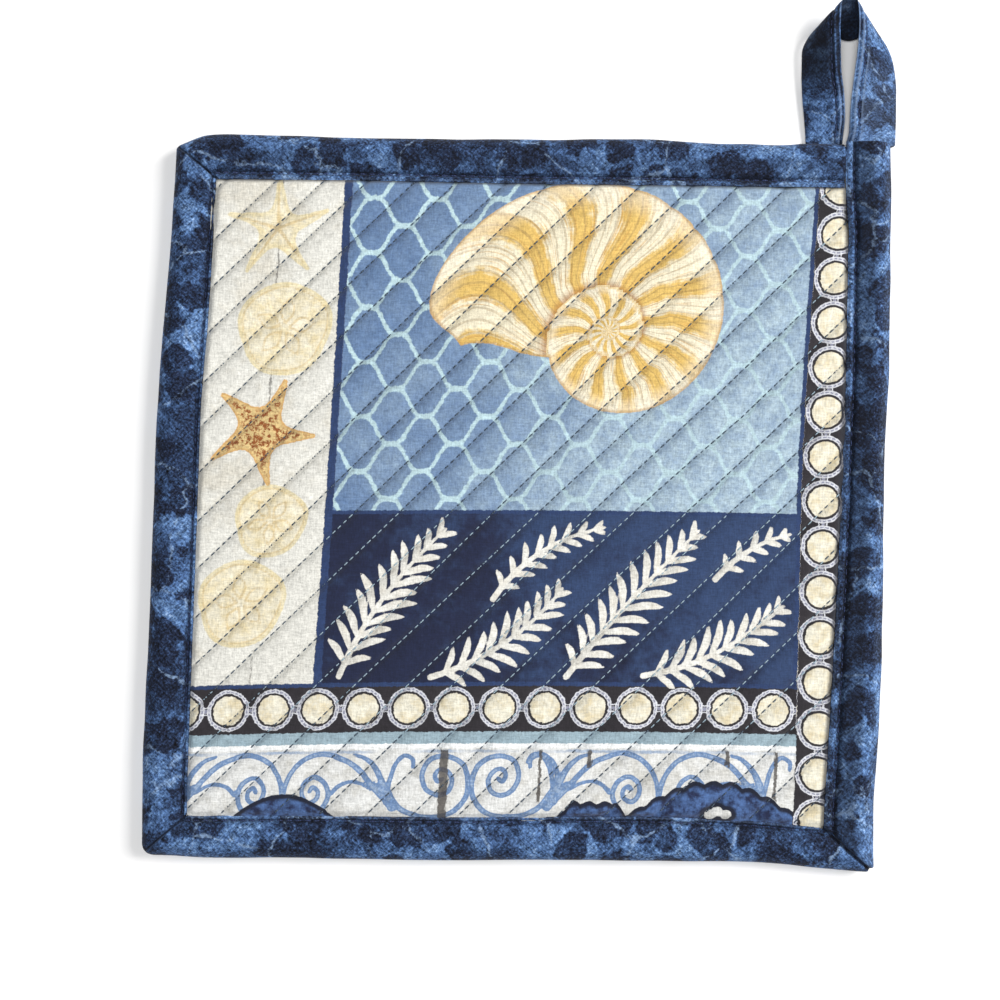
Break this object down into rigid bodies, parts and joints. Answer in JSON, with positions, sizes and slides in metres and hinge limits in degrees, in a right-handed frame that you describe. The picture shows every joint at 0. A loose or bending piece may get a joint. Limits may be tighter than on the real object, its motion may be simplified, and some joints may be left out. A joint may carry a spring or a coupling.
{
  "type": "quilted pot holder",
  "caption": "Square quilted cotton pot holder, padded and sewn in slanting rows, with a bound edge and a hanging loop at one corner.",
  "frame": {"origin": "middle of the footprint's bounding box, on the surface that the holder lies on", "axes": "+X to the right and +Y up the printed face, towards the hanging loop; +Z out of the printed face, off the surface"},
  "size_m": [0.2072, 0.2459, 0.009],
  "materials": {
    "printed_cotton": "plain-woven printed cotton, quilted",
    "backing_cotton": "plain navy cotton on the underside",
    "navy_cotton": "marbled navy cotton, fine diagonal weave, folded and pressed",
    "sewing_thread": "matt slate-blue sewing thread"
  },
  "bodies": {
    "root": {"quilted_pad": "printed_cotton", "binding": "navy_cotton", "hanging_loop": "navy_cotton"}
  },
  "joints": []
}
